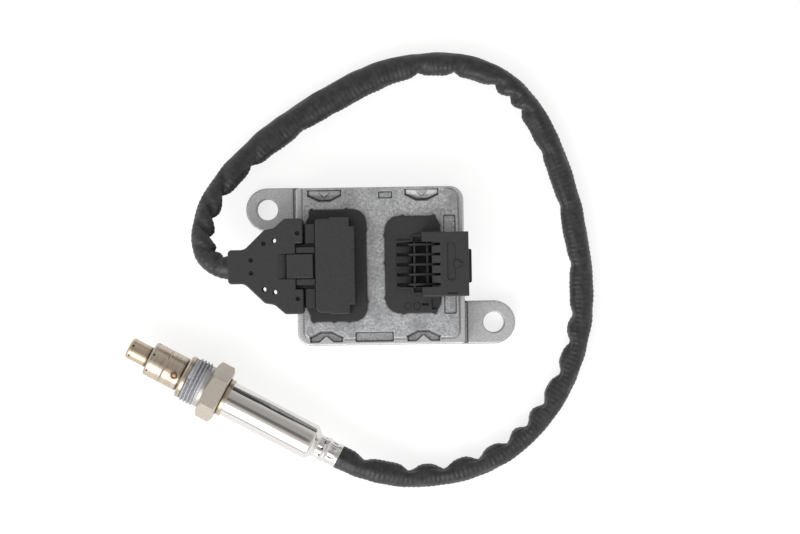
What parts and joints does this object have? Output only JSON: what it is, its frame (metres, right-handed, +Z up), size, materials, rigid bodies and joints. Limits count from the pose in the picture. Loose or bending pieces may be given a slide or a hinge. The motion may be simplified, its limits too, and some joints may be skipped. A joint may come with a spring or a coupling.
{
  "type": "nitrogen oxide sensor",
  "caption": "Exhaust nitrogen oxide sensor: an eared die-cast control unit with black plastic connectors, joined by a sleeved cable to a steel probe with a hexagonal union nut.",
  "frame": {"origin": "midway between the centres of the two ear holes, on the control unit's underside", "axes": "+X along the control unit towards the vehicle connector's mouth, +Y across it towards the left ear's side, +Z up from the underside, along the ear holes"},
  "size_m": [0.1977, 0.1843, 0.0355],
  "materials": {
    "cast_aluminium": "grainy die-cast skin",
    "sheet_aluminium": "rolled sheet, satin",
    "black_plastic": "fine spark-eroded texture",
    "grey_rubber": "moulded, dull",
    "zinc_steel": "zinc plated",
    "board_green": "solder mask over glass laminate",
    "chip_black": "moulded epoxy",
    "can_aluminium": "drawn can",
    "tinned_brass": "tinned contact metal",
    "tube_steel": "drawn stainless steel, faintly heat tinted",
    "turned_steel": "turned stainless steel",
    "polished_steel": "polished stainless steel",
    "white_ceramic": "dense sintered ceramic",
    "wire_cover": "extruded insulation",
    "sleeve_black": "thin ribbed sleeve, dull"
  },
  "bodies": {
    "sensor": {"housing": "cast_aluminium", "base_plate": "sheet_aluminium", "base_seal": "grey_rubber", "base_screws": "zinc_steel", "circuit_board": "board_green", "board_screws": "zinc_steel", "processor": "chip_black", "driver_chips": "chip_black", "heater_transistor": "chip_black", "choke": "chip_black", "capacitors": "can_aluminium", "chip_resistors": "chip_black", "vehicle_header": "black_plastic", "vehicle_header_seal": "grey_rubber", "vehicle_pins": "tinned_brass", "harness_header": "black_plastic", "harness_header_seal": "grey_rubber", "harness_pins": "tinned_brass", "harness_plug": "black_plastic", "plug_terminals": "tinned_brass", "upper_cover": "black_plastic", "lower_cover": "black_plastic", "plug_wires": "wire_cover", "cable": "sleeve_black", "inner_protection_tube": "tube_steel", "outer_protection_tube": "tube_steel", "probe_body": "turned_steel", "rear_sleeve": "polished_steel", "grommet": "grey_rubber", "probe_wires": "wire_cover", "sensing_element": "white_ceramic", "front_insulator": "white_ceramic", "talc_ring": "white_ceramic", "middle_insulator": "white_ceramic", "contact_holder": "white_ceramic", "contact_springs": "tinned_brass"},
    "nut": {"union_nut": "turned_steel"}
  },
  "joints": [
    {"name": "nut_spin", "type": "hinge", "parent": "sensor", "child": "nut", "pos_m": [-0.07437, -0.04959, 0.011], "axis": [-0.8786, 0.4776, 0], "continuous": true}
  ]
}
